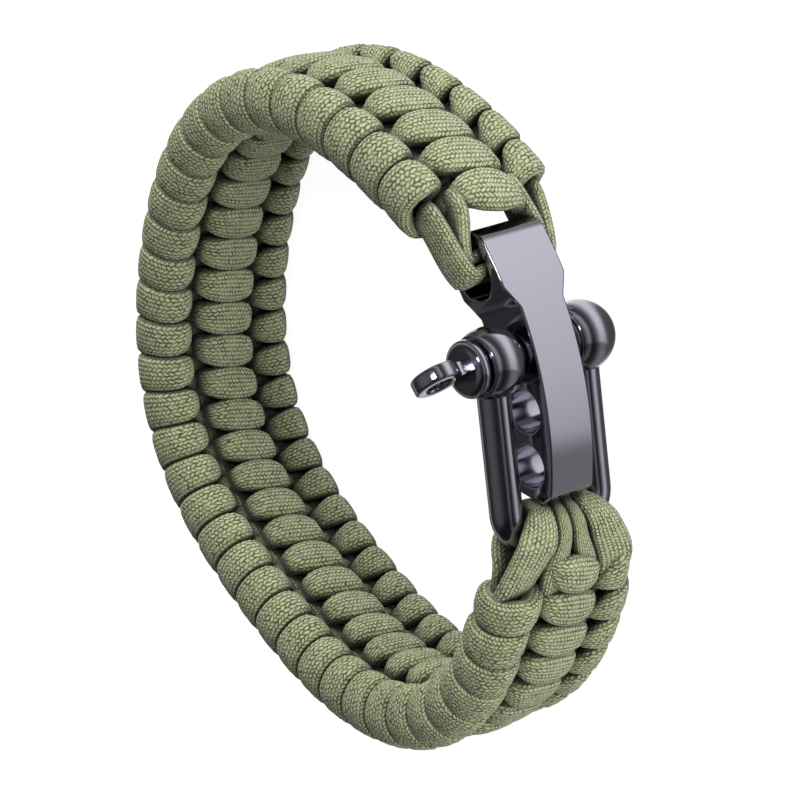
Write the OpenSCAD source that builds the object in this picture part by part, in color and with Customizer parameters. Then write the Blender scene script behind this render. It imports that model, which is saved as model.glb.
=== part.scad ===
// Woven cord bracelet with an adjustable shackle clasp, lying on its side.
// The loop's axis is Z. The clasp is on the +Y side, and the pin's eye tab points up.

/* [Woven band] */
// Mean radius of the loop, at the middle of the band's thickness
loop_r = 36; // [33:0.5:42]
// Width of the band, from edge to edge
band_w = 22.4; // [22:0.1:24]
// Thickness of the band over its ribs
band_t = 8.4; // [7.8:0.1:9]
// Length along the band of one row of the weave
row_pitch = 4.9; // [4.3:0.1:5.6]
// Share by which the rows are closer at the shackle end and wider at the adaptor end
row_drift = 0.1; // [0:0.01:0.2]
// Depth of the valleys between neighbouring rows
rib_depth = 1; // [0.5:0.1:1.3]
// Depth of the two grooves that run along each face
groove_depth = 1.3; // [0.6:0.1:1.6]
// Amount by which each edge draws in at the band's two ends
end_taper_w = 1.6; // [0.8:0.1:2]

/* [Shackle] */
// Diameter of the bow's wire
wire_d = 4; // [3.6:0.1:4.3]
// Distance of each leg's centre line from the middle of the band's width
leg_z = 6.85; // [6.6:0.05:7.2]
// Radius of the bends between the legs and the bottom, at the wire's centre line
bow_bend_r = 3.2; // [2.6:0.1:3.6]
// Diameter of the ball-shaped ears
ear_d = 8.6; // [8.2:0.1:9]
// Distance from an ear's centre to its inner flat face
ear_flat = 2.5; // [2.2:0.1:2.9]
// Distance from the near ear's centre to the outer flat under the collar
collar_seat = 2.2; // [1.6:0.1:2.4]
// Distance of the pin's axis inside the loop's middle line
pin_inset = 3.2; // [2.5:0.05:4]

/* [Screw pin] */
// Diameter of the pin's shank
pin_d = 4.8; // [4.2:0.1:5]
// Radial running clearance of the shank in the ears
pin_clearance = 0.05; // [0.03:0.01:0.1]
// Diameter of the collar
collar_d = 7; // [6.4:0.1:7.6]
// Thickness of the collar
collar_t = 2.1; // [1.5:0.1:2.4]
// Thickness of the eye tab
tab_t = 1.9; // [1.5:0.1:2.4]
// Outer diameter of the eye tab
tab_d = 5.9; // [5.6:0.1:7]
// Diameter of the hole in the eye tab
eye_d = 3.2; // [2.4:0.1:3.4]
// Length of the neck between the collar and the eye tab
neck_l = 0.8; // [0.6:0.1:1.6]
// Width of the square neck
neck_w = 3.2; // [2.6:0.1:3.6]
// Angle by which the screwed-in tab has turned about the pin's axis
tab_turn = 17; // [-30:1:30]
// Depth by which the far ear's bore is longer than the shank
bore_spare = 0.4; // [0.2:0.1:0.8]
// Thickness of the far ear's wall beyond its bore
ear_end_wall = 1.8; // [1.4:0.1:2.4]

/* [Adaptor bar] */
// Radius of the adaptor's outer face
adaptor_r = 39.2; // [36:0.2:44]
// Thickness of the adaptor across the band
adaptor_t = 8; // [7.4:0.1:8.6]
// Width of the adaptor's head, along the pin
head_w = 9.4; // [8.8:0.1:10]
// Width of the adaptor's body, along the pin
body_w = 6.6; // [6:0.1:7]
// Length of the taper between the head and the body
taper_l = 2.7; // [2:0.1:3.4]
// Diameter of the three pin holes
pin_hole_d = 5.2; // [5.1:0.1:5.4]
// Distance between neighbouring pin holes, along their arc
pin_hole_pitch = 6.7; // [6.4:0.1:7.2]
// Wall beyond the last pin hole, up to the end face
tail_wall = 1.3; // [1:0.1:2]
// Length of the cord slot
slot_l = 5.9; // [5.8:0.1:6.6]
// Width of the cord slot, across the band
slot_w = 5.5; // [5.3:0.1:5.7]
// Wall between the slot and the outer face
slot_front_wall = 1.5; // [1.2:0.1:1.6]
// Thickness of the end bar that closes the slot
end_bar = 1.5; // [1.2:0.1:2]
// Distance from the pin hole to the slot's round end, along their arc
slot_lead = 7.2; // [6.8:0.1:8]
// Size of the bevels on the outer face's two ends
bevel = 1.4; // [0.8:0.1:1.8]
// Angle by which the adaptor is turned about the loop's axis at the pin
adaptor_turn = 4; // [2:0.5:6]

/* [End cords] */
// Thickness of a pressed cord where it passes round metal
cord_t = 1.9; // [1.7:0.05:2]
// Width of a pressed cord in the adaptor's slot
slot_cord_w = 4.4; // [4:0.1:4.6]
// Clearance between a cord and what it passes
cord_gap = 0.15; // [0.1:0.01:0.2]
// Width of an end cord where it spreads out to join the band
spread_w = 3.7; // [3.3:0.1:4]
// Clearance between the adaptor's tail and the cords round the bow
tail_gap = 0.3; // [0.2:0.05:0.6]
// Distance from the centre line of the bow's bottom to the band
bow_lead = 4.4; // [4.2:0.1:6]
// Distance from the adaptor's end face to the band
head_lead = 3.2; // [3:0.1:4.5]
// Gap between an end cord and the band that it runs into
end_gap = 0.25; // [0.2:0.05:0.4]
// Length of an end cord's straight lead into the band
end_lead = 1; // [0.8:0.1:1.4]

/* [Hidden] */

$fn = 64;

function total(list, i = 0) = i < len(list) ? list[i] + total(list, i + 1) : 0;
function unit(v) = v / norm(v);
function side_of(v) = [v[1], -v[0]];

// The floor touches whichever reaches lowest, the band's edge or the far ear.
mid_z = max(band_w / 2, leg_z + ear_d / 2);

// The loop's outline: its radius is loop_r times 1 plus these waves.
WAVE_COUNT = 0;
WAVE_COS = 1;
WAVE_SIN = 2;
LOOP_WAVES = [
    // waves round the loop, cosine share, sine share
    [2, 0.0524, 0.0072],
    [3, 0.0138, 0.0012],
    [4, 0.0325, 0],
];
function loop_radius(a) = loop_r * (1 + total([for (w = LOOP_WAVES)
    w[WAVE_COS] * cos(w[WAVE_COUNT] * a) + w[WAVE_SIN] * sin(w[WAVE_COUNT] * a)]));
function loop_slope(a) = loop_r * total([for (w = LOOP_WAVES)
    w[WAVE_COUNT] * (w[WAVE_SIN] * cos(w[WAVE_COUNT] * a) - w[WAVE_COS] * sin(w[WAVE_COUNT] * a))]);
function loop_point(a) = loop_radius(a) * [cos(a), sin(a)];
function loop_outward(a) = unit(side_of(
    loop_slope(a) * [cos(a), sin(a)] + loop_radius(a) * [-sin(a), cos(a)]));

// Lengths along the loop run clockwise, seen from above, from the point nearest the pin.
PIN_SIDE = 89;
ARC_STEP = 2;
ARC_STEPS = 360 / ARC_STEP;
function loop_step(i) = norm(loop_point(PIN_SIDE - ARC_STEP * (i + 1)) - loop_point(PIN_SIDE - ARC_STEP * i));
LOOP_ARC = [for (i = 0, s = 0; i <= ARC_STEPS; s = s + loop_step(i), i = i + 1)
    [s, PIN_SIDE - ARC_STEP * i]];
loop_length = LOOP_ARC[ARC_STEPS][0];
function angle_at(s) = lookup(s, LOOP_ARC);

// Length along the loop, clockwise or back, to where the loop lies at a distance from the pin
HALF_STEPS = ARC_STEPS / 2;
pin_xy = loop_point(PIN_SIDE) - pin_inset * loop_outward(PIN_SIDE);
REACH_ON = [for (i = [1:HALF_STEPS]) [norm(loop_point(PIN_SIDE - ARC_STEP * i) - pin_xy), LOOP_ARC[i][0]]];
REACH_BACK = [for (i = [1:HALF_STEPS]) [norm(loop_point(PIN_SIDE + ARC_STEP * i) - pin_xy),
    loop_length - LOOP_ARC[ARC_STEPS - i][0]]];

// Adaptor, in angles about the centre of its outer face, positive towards the tail
hole_r = adaptor_r - adaptor_t / 2;
adaptor_centre = pin_xy - hole_r * [sin(adaptor_turn), cos(adaptor_turn)];
function arc_angle(l) = l / hole_r * 180 / PI;
hole_step = arc_angle(pin_hole_pitch);
slot_r = adaptor_r - slot_front_wall - slot_w / 2;
slot_end_angle = adaptor_turn - arc_angle(slot_lead);
head_angle = slot_end_angle - arc_angle(slot_l + end_bar);
tail_angle = adaptor_turn + 2 * hole_step + arc_angle(pin_hole_d / 2 + tail_wall);
bevel_angle = arc_angle(bevel);
function on_adaptor(r, a) = adaptor_centre + r * [sin(a), cos(a)];
tail_reach = norm(on_adaptor(hole_r, tail_angle) - pin_xy);
head_reach = norm(on_adaptor(hole_r, head_angle) - pin_xy);

// Distance from the pin's axis to the centre line of the bow's bottom
bow_reach = tail_reach + tail_gap + cord_t + cord_gap + wire_d / 2;

// The band's rows
band_start = lookup(bow_reach + bow_lead, REACH_ON);
band_end = loop_length - lookup(head_reach + head_lead, REACH_BACK);
rows = round((band_end - band_start) / row_pitch);
ROW_STATIONS = 4;
stations = rows * ROW_STATIONS;
function row_share(u) = u * (1 - row_drift) + row_drift * u * u;
function station_angle(i) = angle_at(band_start + (band_end - band_start) * row_share(i / stations));

// The band's section, from one edge over the outer face to the other edge and back.
// A bar of the weave crosses the middle, and a loop covers each edge half a row later.
ACROSS = 0;
HEIGHT = 1;
RIB = 2;
PHASE = 3;
GROOVE = 4;
HALF_SECTION = [
    // across and height as shares of half the width and thickness, rib and groove depth shares, phase in rows
    // across, height, rib, phase, groove
    [-0.91, 0.7, 0.7, 0.5, 0],
    [-0.68, 1, 1, 0.5, 0],
    [-0.40, 1, 0, 0, 1],
    [-0.20, 1, 1, 0, 0],
    [0.20, 1, 1, 0, 0],
    [0.40, 1, 0, 0, 1],
    [0.68, 1, 1, 0.5, 0],
    [0.91, 0.7, 0.7, 0.5, 0],
];
half_count = len(HALF_SECTION);
section_count = 2 * half_count + 2;
function valley(i, phase) = (1 - cos(360 * (i / ROW_STATIONS + phase))) / 2;
function section_height(row, i) = row[HEIGHT] * band_t / 2
    - row[RIB] * rib_depth * valley(i, row[PHASE]) - row[GROOVE] * groove_depth;
function half_width(i) = band_w / 2 - end_taper_w * max(0, 1 - min(i, stations - i) / ROW_STATIONS);
function edge_reach(i) = half_width(i) - rib_depth / 2 * valley(i, 0.5);
function section_point(i, k) =
    k == 0 ? [0, edge_reach(i)] :
    k <= half_count ? let (row = HALF_SECTION[k - 1])
        [section_height(row, i), -row[ACROSS] * half_width(i)] :
    k == half_count + 1 ? [0, -edge_reach(i)] :
        let (row = HALF_SECTION[section_count - 1 - k])
        [-section_height(row, i), -row[ACROSS] * half_width(i)];
function band_point(i, k) = let (a = station_angle(i), p = section_point(i, k),
    xy = loop_point(a) + p[0] * loop_outward(a)) [xy[0], xy[1], mid_z + p[1]];

// Triangles of a closed tube of rings, with its two ends capped as fans
function tube_faces(rings, n) = concat(
    [for (i = [0:rings - 2]) for (k = [0:n - 1]) [i * n + k, i * n + (k + 1) % n, (i + 1) * n + (k + 1) % n]],
    [for (i = [0:rings - 2]) for (k = [0:n - 1]) [i * n + k, (i + 1) * n + (k + 1) % n, (i + 1) * n + k]],
    [for (k = [1:n - 2]) [0, k + 1, k]],
    [for (k = [1:n - 2]) [(rings - 1) * n, (rings - 1) * n + k, (rings - 1) * n + k + 1]]);

// Shackle and pin, seen along the pin's axis
ear_r = ear_d / 2;
wire_r = wire_d / 2;
pin_r = pin_d / 2;
band_start_xy = loop_point(angle_at(band_start));
bow_dir = unit(band_start_xy - pin_xy);
bow_angle = atan2(bow_dir[1], bow_dir[0]);
bow_out = -side_of(bow_dir);
bow_bottom_xy = pin_xy + bow_reach * bow_dir;
collar_z = leg_z + collar_seat;
shank_tip_z = -(leg_z + ear_r - ear_end_wall - bore_spare);
shank_l = collar_z - shank_tip_z;
eye_z = collar_z + collar_t + neck_l + tab_d / 2;

// Cords of the adaptor's slot, at lengths from the slot's round end
outer_cord_at = slot_l - cord_gap - cord_t / 2;
inner_cord_at = outer_cord_at - cord_t - 2 * cord_gap;
adaptor_end_angle = angle_at(band_end);

// Where a cord meets the band: the joint itself, and the end of its straight lead
function joint(a, out, along, z, w) = let (xy = loop_point(a) + out * loop_outward(a),
    ahead = (along > 0 ? 1 : -1) * side_of(loop_outward(a)))
    [for (gap = [end_gap, end_gap + end_lead]) let (p = xy + gap * ahead) [p[0], p[1], z, w]];
function backwards(list) = [for (i = [len(list) - 1:-1:0]) list[i]];

// A smooth path through the points, with the given number of steps between neighbours
function spline(p, steps) = concat([for (i = [0:len(p) - 2])
    let (b = p[i], c = p[i + 1], l = norm(c - b),
        leave = l * unit(c - p[max(i - 1, 0)]), arrive = l * unit(p[min(i + 2, len(p) - 1)] - b))
    for (j = [0:steps - 1]) let (t = j / steps, u = 1 - t)
        (1 + 2 * t) * u * u * b + t * u * u * leave + (3 - 2 * t) * t * t * c - t * t * u * arrive],
    [p[len(p) - 1]]);

CORD_SIDES = 8;
// A pressed cord along a path of [x, y, z, width], its width towards the given direction, t thick
module cord(path, wide, t) {
    rings = len(path);
    spine = [for (p = path) [p[0], p[1], p[2]]];
    points = [for (i = [0:rings - 1])
        let (along = unit(spine[min(i + 1, rings - 1)] - spine[max(i - 1, 0)]),
            flat = unit(cross(along, wide)), broad = cross(flat, along))
        for (k = [0:CORD_SIDES - 1]) let (a = 360 * (k + 0.5) / CORD_SIDES)
            spine[i] + path[i][3] / 2 * cos(a) * broad - t / 2 * sin(a) * flat];
    polyhedron(points = points, faces = tube_faces(rings, CORD_SIDES));
}

module woven_band() {
    color([0.45, 0.48, 0.30])
        polyhedron(
            points = [for (i = [0:stations]) for (k = [0:section_count - 1]) band_point(i, k)],
            faces = tube_faces(stations + 1, section_count));
}

// Half of the adaptor's outline seen from outside the loop: x along the band, y along the pin
module adaptor_plan() {
    taper_x = on_adaptor(adaptor_r, slot_end_angle)[0];
    head_x = on_adaptor(adaptor_r, head_angle)[0] - 1;
    tail_x = on_adaptor(adaptor_r, tail_angle)[0] + 1;
    polygon([[head_x, -head_w / 2], [taper_x, -head_w / 2], [taper_x + taper_l, -body_w / 2],
        [tail_x, -body_w / 2], [tail_x, body_w / 2], [taper_x + taper_l, body_w / 2],
        [taper_x, head_w / 2], [head_x, head_w / 2]]);
}

// The adaptor seen along the pin's axis, without its holes
module adaptor_profile() {
    inner_r = adaptor_r - adaptor_t;
    far = 2 * adaptor_r;
    difference() {
        intersection() {
            translate(adaptor_centre) difference() {
                circle(r = adaptor_r, $fn = 180);
                circle(r = inner_r, $fn = 180);
            }
            polygon([adaptor_centre, on_adaptor(far, head_angle), on_adaptor(far, tail_angle)]);
        }
        polygon([on_adaptor(adaptor_r - bevel, head_angle), on_adaptor(adaptor_r - bevel, head_angle - bevel_angle),
            on_adaptor(adaptor_r + bevel, head_angle), on_adaptor(adaptor_r + bevel / 2, head_angle + bevel_angle),
            on_adaptor(adaptor_r, head_angle + bevel_angle)]);
        polygon([on_adaptor(adaptor_r - bevel, tail_angle), on_adaptor(adaptor_r - bevel, tail_angle + bevel_angle),
            on_adaptor(adaptor_r + bevel, tail_angle), on_adaptor(adaptor_r + bevel / 2, tail_angle - bevel_angle),
            on_adaptor(adaptor_r, tail_angle - bevel_angle)]);
    }
}

// The cord slot seen along the pin's axis: round towards the pin, square at the end bar
module slot_profile() {
    round_r = slot_w / 2;
    turn = slot_end_angle - arc_angle(round_r);
    translate(on_adaptor(slot_r, turn)) rotate(-turn) {
        circle(r = round_r);
        translate([-(slot_l - round_r), -round_r]) square([slot_l - round_r, slot_w]);
    }
}

module adaptor() {
    over = 1;
    color([0.25, 0.25, 0.29]) difference() {
        intersection() {
            translate([0, 0, mid_z - head_w / 2]) linear_extrude(height = head_w) adaptor_profile();
            translate([0, adaptor_r, mid_z]) rotate([90, 0, 0])
                linear_extrude(height = adaptor_r) adaptor_plan();
        }
        translate([0, 0, mid_z - head_w / 2 - over]) linear_extrude(height = head_w + 2 * over) slot_profile();
        for (i = [0:2]) translate(on_adaptor(hole_r, adaptor_turn + i * hole_step))
            translate([0, 0, mid_z - head_w / 2 - over]) cylinder(d = pin_hole_d, h = head_w + 2 * over);
    }
}

// One half of the bow's wire, in the bow's own frame: x from the pin to the bottom, z along the pin
module bow_half() {
    leg_l = bow_reach - bow_bend_r;
    translate([0, 0, leg_z]) rotate([0, 90, 0]) cylinder(r = wire_r, h = leg_l);
    translate([leg_l, 0, leg_z - bow_bend_r]) rotate([90, 0, 0])
        rotate_extrude(angle = 90) translate([bow_bend_r, 0]) circle(r = wire_r);
    translate([bow_reach, 0, 0]) cylinder(r = wire_r, h = leg_z - bow_bend_r);
}

module shackle_bow() {
    over = 1;
    color([0.2, 0.2, 0.24]) translate([pin_xy[0], pin_xy[1], mid_z]) rotate(bow_angle) difference() {
        union() {
            bow_half();
            mirror([0, 0, 1]) bow_half();
            for (z = [-leg_z, leg_z]) translate([0, 0, z]) sphere(d = ear_d);
        }
        translate([-ear_r, -ear_r, -(leg_z - ear_flat)]) cube([ear_d, ear_d, 2 * (leg_z - ear_flat)]);
        translate([-ear_r, -ear_r, collar_z]) cube([ear_d, ear_d, ear_r]);
        translate([0, 0, shank_tip_z - bore_spare])
            cylinder(r = pin_r + pin_clearance, h = shank_l + bore_spare + over);
    }
}

// The tab's outline: an eye ring on a short square neck, y along the pin
module tab_outline() {
    difference() {
        union() {
            translate([0, neck_l + tab_d / 2]) circle(d = tab_d);
            translate([-neck_w / 2, -collar_t / 2]) square([neck_w, collar_t / 2 + neck_l + tab_d / 4]);
        }
        translate([0, neck_l + tab_d / 2]) circle(d = eye_d);
    }
}

module screw_pin() {
    rim_r = collar_t / 2;
    color([0.2, 0.2, 0.24]) translate([pin_xy[0], pin_xy[1], mid_z]) {
        translate([0, 0, shank_tip_z]) cylinder(r = pin_r, h = shank_l + rim_r);
        translate([0, 0, collar_z + rim_r]) rotate_extrude() union() {
            translate([collar_d / 2 - rim_r, 0]) circle(r = rim_r);
            translate([0, -rim_r]) square([collar_d / 2 - rim_r, collar_t]);
        }
        translate([0, 0, collar_z + collar_t]) rotate(tab_turn + 90) rotate([90, 0, 0])
            translate([0, 0, -tab_t / 2]) linear_extrude(height = tab_t) tab_outline();
    }
}

// A loop of cord through the adaptor's slot, from the band's end on one side to the other.
// at is the length from the slot's round end, end_z and end_out where the cord meets the band,
// and bulge how far the cord stands off the head's side.
module adaptor_loop(at, end_z, end_out, bulge) {
    turn = slot_end_angle - arc_angle(at);
    slot_xy = on_adaptor(slot_r, turn);
    clear_z = head_w / 2 + cord_gap + cord_t / 2;
    mouth_xy = on_adaptor(slot_r, turn - arc_angle(bulge / 4));
    quarter = concat(joint(adaptor_end_angle, end_out, 1, end_z, slot_cord_w), [
        [mouth_xy[0], mouth_xy[1], clear_z + bulge, slot_cord_w],
        [slot_xy[0], slot_xy[1], head_w / 2 - cord_t / 4, slot_cord_w],
    ]);
    path = concat(quarter, [[slot_xy[0], slot_xy[1], 0, slot_cord_w]],
        [for (p = backwards(quarter)) [p[0], p[1], -p[2], p[3]]]);
    outward = [sin(turn), cos(turn), 0];
    color([0.45, 0.48, 0.30]) translate([0, 0, mid_z])
        cord(spline(path, 3), outward, cord_t);
}

module adaptor_loop_inner() adaptor_loop(inner_cord_at, band_w * 0.36, -0.4, 1.2);
module adaptor_loop_outer() adaptor_loop(outer_cord_at, band_w * 0.25, 0.4, 0);

// Cords round the bow's bottom: tight inside the bow, spread out where they lie over its bends
gap_half = leg_z - wire_r;
wrap_r = wire_r + cord_gap + cord_t / 2;
IN_GAP = 0;
GAP_WIDTH = 1;
OVER_BOW = 2;
BOW_WIDTH = 3;
OUTER_END = 4;
INNER_END = 5;
SHACKLE_CORDS = [
    // places and widths as shares of half the bow's inside width, ends at the band as shares of its half width
    // in_gap, gap_width, over_bow, bow_width, outer_end, inner_end
    [0.66, 0.56, 1.15, 0.86, 0.70, 0.52],
    [0.17, 0.31, 0.28, 0.40, 0.22, 0.17],
    [-0.17, 0.31, -0.28, 0.40, -0.22, -0.17],
    [-0.66, 0.56, -1.14, 0.85, -0.71, -0.53],
];
WRAP_FROM = 75;
WRAP_TO = 300;
WRAP_STEP = 25;
SPREAD_TURN = 60;
BAND_LAYER = 0.27;

// A hairpin of cord from the band's outer half, round the bow's bottom, to the band's inner half
module shackle_cord(row) {
    a = angle_at(band_start);
    out = BAND_LAYER * band_t;
    wrap = [for (b = [WRAP_FROM:WRAP_STEP:WRAP_TO])
        let (xy = bow_bottom_xy + wrap_r * (cos(b) * bow_dir + sin(b) * bow_out),
            spread = max(0, 1 - min(b - WRAP_FROM, WRAP_TO - b) / SPREAD_TURN),
            z = row[IN_GAP] + spread * (row[OVER_BOW] - row[IN_GAP]),
            w = row[GAP_WIDTH] + spread * (row[BOW_WIDTH] - row[GAP_WIDTH]))
        [xy[0], xy[1], z * gap_half, w * gap_half]];
    path = concat(joint(a, out, -1, row[OUTER_END] * band_w / 2, spread_w), wrap,
        backwards(joint(a, -out, -1, row[INNER_END] * band_w / 2, spread_w)));
    color([0.45, 0.48, 0.30]) translate([0, 0, mid_z])
        cord(spline(path, 2), [0, 0, 1], cord_t);
}

module shackle_cord_near() shackle_cord(SHACKLE_CORDS[0]);
module shackle_cord_near_middle() shackle_cord(SHACKLE_CORDS[1]);
module shackle_cord_far_middle() shackle_cord(SHACKLE_CORDS[2]);
module shackle_cord_far() shackle_cord(SHACKLE_CORDS[3]);

woven_band();
adaptor();
shackle_bow();
screw_pin();
adaptor_loop_inner();
adaptor_loop_outer();
shackle_cord_near();
shackle_cord_near_middle();
shackle_cord_far_middle();
shackle_cord_far();
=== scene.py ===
"""Looks of a woven cord bracelet with an adjustable shackle clasp, lying on its side on a pale floor.

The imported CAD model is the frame. The ribbed band and the plain end cords of that model are stood for by
the real weave: two working cords over four core cords, each a pressed braided tube. The adaptor is a copy of
its CAD mesh with rounded edges, and the bow and the screw pin are swept and turned again at the CAD sizes.

Shapes are worked out in millimetres and turned into metres when a mesh is made. Places along the band are
counted in rows of the weave, from row 0 by the bow to the last row by the adaptor. A side is a distance
from the middle of the band's width, positive towards the near edge, which is the upper one. Out is a
distance from the middle of the band's thickness, positive towards the outer face.
"""

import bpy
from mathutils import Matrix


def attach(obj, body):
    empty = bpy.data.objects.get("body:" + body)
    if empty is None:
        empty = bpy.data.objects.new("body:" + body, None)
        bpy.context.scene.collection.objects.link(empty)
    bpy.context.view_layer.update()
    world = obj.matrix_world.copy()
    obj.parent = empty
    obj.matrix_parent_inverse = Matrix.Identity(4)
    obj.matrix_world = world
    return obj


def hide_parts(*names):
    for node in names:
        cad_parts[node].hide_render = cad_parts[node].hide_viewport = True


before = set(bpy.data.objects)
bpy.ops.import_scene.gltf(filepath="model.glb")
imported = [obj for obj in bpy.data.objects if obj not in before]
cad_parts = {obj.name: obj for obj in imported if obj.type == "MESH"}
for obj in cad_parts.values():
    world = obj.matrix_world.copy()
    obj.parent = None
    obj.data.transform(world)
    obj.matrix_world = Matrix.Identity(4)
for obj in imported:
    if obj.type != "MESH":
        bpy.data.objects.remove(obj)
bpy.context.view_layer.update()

import logging
import math
from dataclasses import dataclass, field
from enum import Enum

import bmesh
import bpy
import numpy as np
from mathutils import Matrix, Vector

LOG = logging.getLogger("bracelet")

MM = 0.001
BAND_MIDDLE = 11.2  # height of the middle of the band and of the clasp above the floor
BOW_TURN = -17.63  # direction from the pin to the bow's bottom, in degrees
CORD_STEP = 0.6  # length between neighbouring rings of a bent cord
AXIS_RADIUS = 0.001  # radius at which a turned profile meets its axis
UP = np.array([0.0, 0.0, 1.0])

Array = np.ndarray


class Body(Enum):
    """The bodies that pieces ride on."""

    BRACELET = "bracelet"
    PIN = "pin"


class Slot(Enum):
    """The slots of the finishes."""

    CORD = "cord"
    END_CORD = "end_cord"
    ADAPTOR = "adaptor_metal"
    BOW = "bow_metal"
    PIN = "pin_metal"


def unit(v: Array) -> Array:
    """Return v at length one."""
    return v / max(float(np.linalg.norm(v)), 1e-9)


def run_lengths(points: Array) -> Array:
    """Return the length along a line of points at each of them, starting from zero."""
    return np.concatenate([[0], np.cumsum(np.linalg.norm(np.diff(points, axis=0), axis=1))])


def value_at(rows: tuple[tuple[float, float], ...], place: float) -> float:
    """Return the value at a place from rows of place and value."""
    return float(np.interp(place, *zip(*rows)))


def smooth_line(rows: Array, steps: int) -> Array:
    """Run a smooth curve through rows of numbers.

    Args:
        rows: one row for each place, its first three numbers a point and the rest sizes.
        steps: number of steps between neighbouring places.

    Returns:
        The finer rows, first and last included.
    """
    fine = []
    for i in range(len(rows) - 1):
        before, here = rows[max(i - 1, 0)], rows[i]
        there, after = rows[i + 1], rows[min(i + 2, len(rows) - 1)]
        span = np.linalg.norm((there - here)[:3])
        leave = (there - before) / max(np.linalg.norm((there - before)[:3]), 1e-6) * span
        arrive = (after - here) / max(np.linalg.norm((after - here)[:3]), 1e-6) * span
        for j in range(steps):
            t = j / steps
            u = 1 - t
            fine.append((1 + 2 * t) * u * u * here + t * u * u * leave + (3 - 2 * t) * t * t * there
                        - t * t * u * arrive)
    fine.append(rows[-1])
    return np.array(fine)


def even_steps(rows: Array, step: float, fewest: int = 4) -> Array:
    """Spread rows again at even lengths.

    Args:
        rows: one row for each place, its first three numbers a point and the rest sizes.
        step: length that the steps are near to.
        fewest: smallest number of steps.

    Returns:
        The new rows, first and last included.
    """
    lengths = run_lengths(rows[:, :3])
    count = max(int(round(lengths[-1] / step)), fewest)
    at = np.linspace(0, lengths[-1], count + 1)
    return np.stack([np.interp(at, lengths, rows[:, k]) for k in range(rows.shape[1])], -1)


def placed(name: str, data: bpy.types.ID) -> bpy.types.Object:
    """Return a new object of this name and data, in the scene."""
    made = bpy.data.objects.new(name, data)
    bpy.context.scene.collection.objects.link(made)
    return made


def dress(made: bpy.types.Object, finish: bpy.types.Material, body: Body,
          node: str = "") -> bpy.types.Object:
    """Give a piece its finish and its body.

    Args:
        made: the piece.
        finish: its material.
        body: the body it rides on.
        node: the CAD piece it stands for, if it stands for one alone.

    Returns:
        The same piece.
    """
    made.data.materials.append(finish)
    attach(made, body.value)
    if node:
        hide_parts(node)
    return made


@dataclass(frozen=True)
class LoopLine:
    """The closed line that the middle of the band follows, seen along the wrist's axis.

    Args:
        radius: mean radius of the loop.
        waves: rows of waves round the loop, cosine share and sine share.
        pin_side: direction of the point nearest the pin, in degrees.
        fine: degrees between the points at which the line is measured.
        first: length along the loop, clockwise from the pin's side, to the first row of the weave.
        last: length along the loop to the last row.
        rows: number of rows from the first to the last.
        drift: share by which rows are closer at the bow's end and wider at the adaptor's.
        mid_z: height of the middle of the band's width above the floor.
        table: directions and lengths along the line, measured once.
    """

    radius: float = 36.0
    waves: tuple[tuple[int, float, float], ...] = (
        (2, 0.0524, 0.0072),
        (3, 0.0138, 0.0012),
        (4, 0.0325, 0.0),
    )
    pin_side: float = 89.0
    fine: float = 0.5
    first: float = 27.276
    last: float = 209.088
    rows: int = 37
    drift: float = 0.1
    mid_z: float = BAND_MIDDLE
    table: dict[str, Array] = field(default_factory=dict)

    def spot(self, turn: float | Array) -> Array:
        """Return the point of the line in a direction given in degrees."""
        a = np.radians(turn)
        r = self.radius * (1 + sum(c * np.cos(k * a) + s * np.sin(k * a) for k, c, s in self.waves))
        return np.stack([r * np.cos(a), r * np.sin(a)], -1)

    def measure(self) -> None:
        """Fill the table, clockwise from the pin's side."""
        turns = self.pin_side - self.fine * np.arange(round(360 / self.fine) + 1)
        self.table.update(turns=turns, lengths=run_lengths(self.spot(turns)))

    def place(self, length: float) -> tuple[Array, Array, Array]:
        """Find a place on the line.

        Args:
            length: length along the loop, clockwise from the pin's side.

        Returns:
            The point, the outward direction and the direction along the loop, each with a height of zero.
        """
        if not self.table:
            self.measure()
        total = self.table["lengths"][-1]
        turn = np.interp(length % total, self.table["lengths"], self.table["turns"])
        here, ahead, behind = self.spot(turn), self.spot(turn - self.fine), self.spot(turn + self.fine)
        along = unit(ahead - behind)
        return (np.array([here[0], here[1], 0.0]), np.array([-along[1], along[0], 0.0]),
                np.array([along[0], along[1], 0.0]))

    def row_length(self, row: float) -> float:
        """Return the length along the loop of a row of the weave."""
        share = row / self.rows
        drifted = share * (1 - self.drift) + self.drift * share * share
        return self.first + (self.last - self.first) * drifted

    def row_gap(self, row: float, out: float) -> float:
        """Return the distance from a row to the next at a distance outward from the middle."""
        ends = [self.place(self.row_length(row + step)) for step in (-0.5, 0.5)]
        return float(np.linalg.norm(ends[1][0] + out * ends[1][1] - ends[0][0] - out * ends[0][1]))

    def on_band(self, row: float, out: float, side: float) -> tuple[Array, Array]:
        """Find a place in the band.

        Args:
            row: position along the band, in rows.
            out: distance outward from the middle of its thickness.
            side: distance from the middle of its width.

        Returns:
            The point above the floor and the direction along the loop.
        """
        spot, outward, along = self.place(self.row_length(row))
        return spot + out * outward + (self.mid_z + side) * UP, along


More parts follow.
